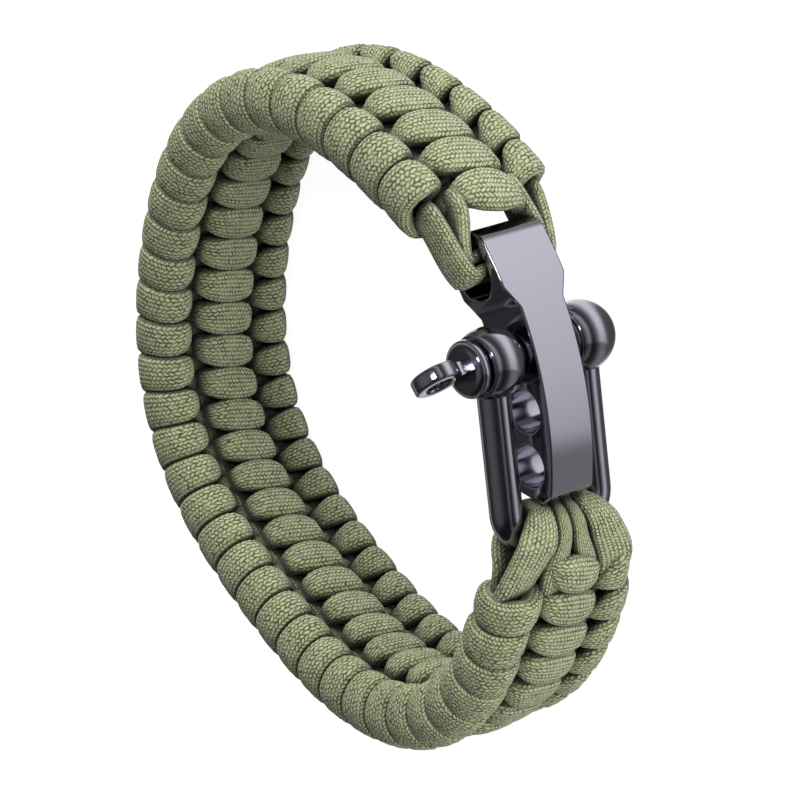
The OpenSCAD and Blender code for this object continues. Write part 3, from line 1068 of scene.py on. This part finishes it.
def fill_ramp(ramp: bpy.types.ColorRamp, stops: list[tuple[float, tuple[float, ...]]]) -> None:
    """Set the stops of a colour ramp.

    Args:
        ramp: a new ramp of two stops.
        stops: rows of place, from zero to one, and colour.
    """
    while len(ramp.elements) < len(stops):
        ramp.elements.new(1.0)
    for element, (place, colour) in zip(ramp.elements, stops):
        element.position = place
        element.color = (*colour, 1.0)


class Graph:
    """A short way to write the nodes of a finish."""

    def __init__(self, name: str) -> None:
        """Start a material of this name."""
        self.material = bpy.data.materials.new(name)
        self.material.use_nodes = True
        self.tree = self.material.node_tree
        self.surface = self.tree.nodes["Principled BSDF"]

    def add(self, kind: str, **settings: object) -> bpy.types.Node:
        """Add a node of this kind with these settings."""
        node = self.tree.nodes.new(kind)
        for key, value in settings.items():
            setattr(node, key, value)
        return node

    def feed(self, socket: bpy.types.NodeSocket, value: object) -> None:
        """Give a socket a number, a colour or what another node makes."""
        if isinstance(value, bpy.types.NodeSocket):
            self.tree.links.new(value, socket)
        else:
            socket.default_value = value

    def set(self, values: dict[str, object]) -> None:
        """Give the surface's named sockets these values."""
        for name, value in values.items():
            self.feed(self.surface.inputs[name], value)

    def calc(self, operation: str, *values: object, clamp: bool = False) -> bpy.types.NodeSocket:
        """Work out an operation on values."""
        node = self.add("ShaderNodeMath", operation=operation, use_clamp=clamp)
        for socket, value in zip(node.inputs, values):
            self.feed(socket, value)
        return node.outputs[0]

    def blend(self, share: object, first: object, second: object) -> bpy.types.NodeSocket:
        """Mix two colours, all of the first at a share of zero."""
        node = self.add("ShaderNodeMix", data_type="RGBA")
        self.feed(node.inputs["Factor"], share)
        self.feed(node.inputs["A"], first)
        self.feed(node.inputs["B"], second)
        return node.outputs["Result"]

    def here(self) -> bpy.types.NodeSocket:
        """Return the place on the piece, in its own space."""
        return self.add("ShaderNodeTexCoord").outputs["Object"]

    def noise(self, scale: float, detail: float) -> bpy.types.NodeSocket:
        """Return soft noise in the piece's own space."""
        node = self.add("ShaderNodeTexNoise", noise_dimensions="3D")
        node.inputs["Scale"].default_value = scale
        node.inputs["Detail"].default_value = detail
        self.feed(node.inputs["Vector"], self.here())
        return node.outputs["Fac"]

    def stretch(self, value: object, low: object, high: object,
                kind: str = "LINEAR") -> bpy.types.NodeSocket:
        """Return a value stretched so that low becomes zero and high becomes one."""
        node = self.add("ShaderNodeMapRange", interpolation_type=kind)
        for socket, given in zip(("Value", "From Min", "From Max"), (value, low, high)):
            self.feed(node.inputs[socket], given)
        return node.outputs["Result"]


@dataclass(frozen=True)
class BraidedSheath:
    """The finish of the cord: a fine braid of small leaning stitches, with painted shade on their sides,
    between them and in the grooves between cords.

    Args:
        stitch: colour of a stitch's top.
        shade: painted shade on a stitch's sides.
        gap: darker painted shade in the open gaps between stitches.
        painted_groove_shade: painted shade in the grooves where cords press together.
        pitch: length of one stitch along the cord.
        lean: slant of a stitch, as a share of its length across one column.
        wander: how far stitches stray along the cord, in stitches.
        wander_scale: fineness of that straying.
        fall_across: slope and power of a stitch's fall from its middle to the sides of its column.
        fall_along: slope and power of its fall from its middle to its ends.
        dome: power that rounds the stitch in the shading.
        tones: paleness of the darkest stitch, and how much chance and the patches add to it.
        patch_scale: fineness of the paler and darker patches.
        fray_scale: fineness of the change from open gaps to closed ones.
        fray: noise at which gaps are closed and at which they are open, an open gap taking the darker
            painted shade.
        gap_width: height to which the painted shade of a closed gap reaches up a stitch, and how much higher
            an open one's reaches.
        groove: distance within which other cords bring painted shade into a groove, in metres.
        groove_open: openness at which the painted shade in a groove is darkest and at which there is none.
        bump: strength and height, in metres, of the stitches in the shading.
        roughness: roughness of the fibres.
        sheen: weight and roughness of their sheen.
        specular: level of their plain reflection.
    """

    stitch: tuple[float, float, float] = (0.355, 0.385, 0.228)
    shade: tuple[float, float, float] = (0.16, 0.178, 0.086)
    gap: tuple[float, float, float] = (0.062, 0.07, 0.031)
    painted_groove_shade: tuple[float, float, float] = (0.016, 0.018, 0.01)
    pitch: float = 0.47
    lean: float = 0.55
    wander: float = 1.6
    wander_scale: float = 700.0
    fall_across: tuple[float, float] = (1.9, 2.0)
    fall_along: tuple[float, float] = (1.95, 2.2)
    dome: float = 0.5
    tones: tuple[float, float, float] = (0.55, 0.75, 0.5)
    patch_scale: float = 180.0
    fray_scale: float = 1100.0
    fray: tuple[float, float] = (0.36, 0.62)
    gap_width: tuple[float, float] = (0.22, 0.6)
    groove: float = 0.0035
    groove_open: tuple[float, float] = (0.22, 0.84)
    bump: tuple[float, float] = (0.8, 0.00018)
    roughness: float = 0.62
    sheen: tuple[float, float] = (0.12, 0.5)
    specular: float = 0.35

    def stitches(self, g: Graph) -> tuple[bpy.types.NodeSocket, bpy.types.NodeSocket]:
        """Lay the stitches out in columns round the cord.

        Args:
            g: the finish's nodes.

        Returns:
            The height on a stitch, from zero in its gaps to one, and a chance number for each stitch.
        """
        place, parts = g.add("ShaderNodeUVMap", uv_map="Sheath"), g.add("ShaderNodeSeparateXYZ")
        g.feed(parts.inputs[0], place.outputs[0])
        across, along = parts.outputs[0], parts.outputs[1]
        column = g.calc("FLOOR", across)
        inside = g.calc("SUBTRACT", g.calc("SUBTRACT", across, column), 0.5)
        odd = g.calc("MODULO", column, 2.0)
        way = g.calc("SUBTRACT", g.calc("MULTIPLY", odd, 2.0), 1.0)
        leaning = g.calc("MULTIPLY", g.calc("MULTIPLY", inside, way), self.lean)
        stray = g.calc("MULTIPLY", g.noise(self.wander_scale, 1.0), self.wander)
        length = g.calc("ADD", g.calc("ADD", g.calc("DIVIDE", along, self.pitch), leaning),
                        g.calc("ADD", g.calc("MULTIPLY", odd, 0.5), stray))
        stitch = g.calc("FLOOR", length)
        through = g.calc("SUBTRACT", g.calc("SUBTRACT", length, stitch), 0.5)
        wide = g.calc("POWER", g.calc("ABSOLUTE", g.calc("MULTIPLY", inside, self.fall_across[0])),
                      self.fall_across[1])
        long = g.calc("POWER", g.calc("ABSOLUTE", g.calc("MULTIPLY", through, self.fall_along[0])),
                      self.fall_along[1])
        height = g.calc("SUBTRACT", 1.0, g.calc("ADD", wide, long), clamp=True)
        own = g.add("ShaderNodeCombineXYZ")
        g.feed(own.inputs[0], column)
        g.feed(own.inputs[1], stitch)
        chance = g.add("ShaderNodeTexWhiteNoise", noise_dimensions="2D")
        g.feed(chance.inputs["Vector"], own.outputs[0])
        return height, chance.outputs["Value"]

    def material(self) -> bpy.types.Material:
        """Return the finish."""
        g = Graph("Braided olive sheath")
        colours = (self.stitch, self.shade, self.gap, self.painted_groove_shade)
        stitch, shade, gap, painted_groove_shade = ((*colour, 1.0) for colour in colours)
        height, chance = self.stitches(g)
        least, own, patch = self.tones
        tone = g.calc("ADD", g.calc("MULTIPLY", chance, own),
                      g.calc("MULTIPLY", g.noise(self.patch_scale, 2.0), patch))
        # a stitch's top fades into painted shade on its sides
        body = g.blend(g.calc("MULTIPLY", height, g.calc("ADD", least, tone), clamp=True), shade, stitch)
        opened = g.stretch(g.noise(self.fray_scale, 1.0), *self.fray)
        gap_top = g.calc("ADD", self.gap_width[0], g.calc("MULTIPLY", opened, self.gap_width[1]))
        # painted shade between stitches, darker and wider where a gap is open
        colour = g.blend(g.stretch(height, 0.0, gap_top, "SMOOTHSTEP"), g.blend(opened, shade, gap), body)
        # painted shade in the grooves, darkest where other cords are close
        around = g.add("ShaderNodeAmbientOcclusion", samples=8)
        around.inputs["Distance"].default_value = self.groove
        lit = g.stretch(around.outputs["AO"], *self.groove_open, "SMOOTHSTEP")
        bump = g.add("ShaderNodeBump")
        bump.inputs["Strength"].default_value, bump.inputs["Distance"].default_value = self.bump
        g.feed(bump.inputs["Height"], g.calc("POWER", height, self.dome))
        g.set({
            "Base Color": g.blend(lit, painted_groove_shade, colour),
            "Roughness": self.roughness,
            "Sheen Weight": self.sheen[0],
            "Sheen Roughness": self.sheen[1],
            "Specular IOR Level": self.specular,
            "Normal": bump.outputs[0],
        })
        return g.material


@dataclass(frozen=True)
class BlackNickel:
    """The polished dark plate of the clasp's metal.

    Args:
        name: name of the finish.
        tint: colour of what it reflects.
        roughness: how much it blurs what it reflects, at its least.
        wear: how much more it does so where it is worn.
        wear_scale: fineness of the worn patches.
        along: rows of distance towards the bow's bottom and depth of the tint there; a depth below one is a
            painted darker reflection.
    """

    name: str
    tint: tuple[float, float, float] = (0.42, 0.42, 0.49)
    roughness: float = 0.11
    wear: float = 0.05
    wear_scale: float = 420.0
    along: tuple[tuple[float, float], ...] = ()

    def material(self) -> bpy.types.Material:
        """Return the finish."""
        g = Graph(self.name)
        worn = g.calc("MULTIPLY", g.noise(self.wear_scale, 3.0), self.wear)
        g.set({
            "Base Color": (*self.tint, 1.0),
            "Metallic": 1.0,
            "Roughness": g.calc("ADD", self.roughness, worn),
        })
        # a painted darker reflection where along gives a depth below one
        if self.along:
            parts = g.add("ShaderNodeSeparateXYZ")
            g.feed(parts.inputs[0], g.here())
            low, high = self.along[0][0], self.along[-1][0]
            ramp = g.add("ShaderNodeValToRGB")
            past = g.calc("SUBTRACT", parts.outputs[0], low * MM)
            g.feed(ramp.inputs[0], g.calc("DIVIDE", past, (high - low) * MM))
            fill_ramp(ramp.color_ramp, [((at - low) / (high - low), tuple(depth * c for c in self.tint))
                                        for at, depth in self.along])
            g.set({"Base Color": ramp.outputs[0]})
        return g.material


@dataclass(frozen=True)
class SoftLight:
    """One soft box of the studio.

    Args:
        name: name of the light.
        at: its place, in metres.
        aim: the point it faces.
        size: its width and height.
        power: its power in watts.
        hidden: whether it is left out of what the metal reflects.
    """

    name: str
    at: tuple[float, float, float]
    aim: tuple[float, float, float]
    size: tuple[float, float]
    power: float
    hidden: bool = False

    def build(self) -> bpy.types.Object:
        """Return the new light, turned to its aim."""
        lamp = bpy.data.lights.new(self.name, "AREA")
        lamp.shape = "RECTANGLE"
        lamp.size, lamp.size_y = self.size
        lamp.energy = self.power
        made = placed(self.name, lamp)
        made.location = self.at
        made.visible_glossy = not self.hidden
        made.rotation_euler = (Vector(self.aim) - Vector(self.at)).to_track_quat("-Z", "Y").to_euler()
        return made


@dataclass(frozen=True)
class PhotoCamera:
    """The camera at the photograph's angle, above the floor.

    Args:
        sensor: width of its film.
        lens: its focal length.
        shift: shift of the picture, in picture widths.
        at: its place, in metres.
        right: direction of the picture's right.
        up: direction of the picture's top.
        back: direction from the bracelet to the camera.
        clip: nearest and farthest distance that it sees, in metres.
    """

    sensor: float = 36.0
    lens: float = 157.45
    shift: tuple[float, float] = (0.0245, -0.0094)
    at: tuple[float, float, float] = (0.0, 0.3516, 0.2622)
    right: tuple[float, float, float] = (0.2925, 0.5556, -0.7783)
    up: tuple[float, float, float] = (-0.9563, 0.1699, -0.2381)
    back: tuple[float, float, float] = (0.0, 0.8139, 0.5810)
    clip: tuple[float, float] = (0.01, 20.0)

    def build(self) -> bpy.types.Object:
        """Return the new camera."""
        film = bpy.data.cameras.new("Camera")
        film.sensor_width = self.sensor
        film.lens = self.lens
        film.shift_x, film.shift_y = self.shift
        film.clip_start, film.clip_end = self.clip
        made = placed("Camera", film)
        turn = Matrix((self.right, self.up, self.back)).transposed().to_4x4()
        made.matrix_world = Matrix.Translation(self.at) @ turn
        return made


@dataclass(frozen=True)
class Studio:
    """The pale floor, the plain surroundings, the soft boxes and the camera.

    Args:
        floor_size: length of the floor's sides, in metres.
        floor_tone: brightness of the floor.
        floor_glow: light that the floor gives of itself, as a light table does.
        sky: rows of height above the horizon, one overhead and minus one below, and brightness there.
        sides: rows of distance towards the bow's bottom, and share of that brightness.
        lights: the soft boxes.
    """

    floor_size: float = 4.0
    floor_tone: float = 0.3
    floor_glow: float = 0.95
    sky: tuple[tuple[float, float], ...] = (
        (-1.0, 0.12), (-0.86, 0.2), (-0.68, 1.15), (-0.5, 1.15), (-0.3, 0.3), (-0.12, 0.07),
        (0.02, 0.08), (0.14, 0.6), (0.26, 0.3), (0.42, 0.05), (0.72, 0.06), (1.0, 0.2),
    )
    sides: tuple[tuple[float, float], ...] = (
        (-1.0, 1.0), (-0.4, 1.0), (0.2, 0.8), (0.5, 0.62), (0.58, 0.22), (1.0, 0.3),
    )
    lights: tuple[SoftLight, ...] = (
        SoftLight("Side box", (-1.0, 0.2, 0.35), (0, 0, 0), (0.9, 0.5), 14.5, hidden=True),
        SoftLight("Key box", (0.3, 0.5, 0.08), (0, 0, 0.01), (0.22, 0.22), 3.0, hidden=True),
        SoftLight("Small box", (-0.25, 0.5, 0.5), (0, 0.03, 0.01), (0.1, 0.22), 1.2),
    )

    def surroundings(self) -> bpy.types.World:
        """Return the plain surroundings, the sky's brightness times the sides' share."""
        world = bpy.data.worlds.new("Plain surroundings")
        world.use_nodes = True
        tree = world.node_tree
        way, parts = tree.nodes.new("ShaderNodeTexCoord"), tree.nodes.new("ShaderNodeSeparateXYZ")
        both = tree.nodes.new("ShaderNodeMix")
        both.data_type, both.blend_type = "RGBA", "MULTIPLY"
        both.inputs["Factor"].default_value = 1.0
        tree.links.new(way.outputs["Generated"], parts.inputs[0])
        for socket, axis, rows in (("A", 2, self.sky), ("B", 0, self.sides)):
            span = tree.nodes.new("ShaderNodeMapRange")
            span.inputs["From Min"].default_value = -1.0
            ramp = tree.nodes.new("ShaderNodeValToRGB")
            tree.links.new(parts.outputs[axis], span.inputs["Value"])
            tree.links.new(span.outputs["Result"], ramp.inputs[0])
            tree.links.new(ramp.outputs[0], both.inputs[socket])
            fill_ramp(ramp.color_ramp, [((place + 1) / 2, (tone,) * 3) for place, tone in rows])
        tree.links.new(both.outputs["Result"], tree.nodes["Background"].inputs[0])
        return world

    def floor(self) -> None:
        """Build the floor, which the metal doesn't reflect."""
        half = self.floor_size / 2
        data = bpy.data.meshes.new("Floor")
        data.from_pydata([(-half, -half, 0), (half, -half, 0), (half, half, 0), (-half, half, 0)], [],
                         [(0, 1, 2, 3)])
        made = placed("Floor", data)
        g = Graph("Pale floor")
        g.set({
            "Base Color": (*(self.floor_tone,) * 3, 1.0),
            "Roughness": 0.9,
            "Specular IOR Level": 0.1,
            "Emission Color": (1.0, 1.0, 1.0, 1.0),
            "Emission Strength": self.floor_glow,
        })
        data.materials.append(g.material)
        made.visible_glossy = False

    def build(self) -> None:
        """Build the studio and set its camera."""
        scene = bpy.context.scene
        scene.world = self.surroundings()
        self.floor()
        for light in self.lights:
            light.build()
        scene.view_settings.view_transform = "Standard"
        bpy.context.scene.camera = PhotoCamera().build()


def count_triangles(made: bpy.types.Object) -> int:
    """Return how many triangles a piece has."""
    return sum(len(p.vertices) - 2 for p in made.data.polygons)


def main() -> None:
    """Build the bracelet's looks piece by piece, then the studio."""
    logging.basicConfig(level=logging.INFO, format="%(name)s: %(message)s")
    line = LoopLine()
    sheath = BraidedSheath().material()
    # the plate's end below x = -13.4 mm, the head's end bevel, gets a painted darker reflection
    adaptor_plate = BlackNickel("Adaptor plate", (0.45, 0.44, 0.51), along=(
        (-15.0, 0.3), (-13.4, 0.3), (-13.0, 1.0), (18.0, 1.0)))
    groups = {
        "band": WovenBand().build(line, sheath),
        "shackle cords": ShackleCords().build(line, sheath),
        "adaptor loops": AdaptorLoops().build(line, sheath),
        "adaptor": [Adaptor().build(adaptor_plate.material())],
        "bow": [Shackle().bow(BlackNickel("Bow plate").material())],
        "pin": [Shackle().screw(BlackNickel("Pin plate").material())],
    }
    for name, pieces in groups.items():
        for piece in pieces:
            LOG.info("%s: %s, %d triangles", name, piece.name, count_triangles(piece))
    Studio().build()


if __name__ == "__main__":
    main()
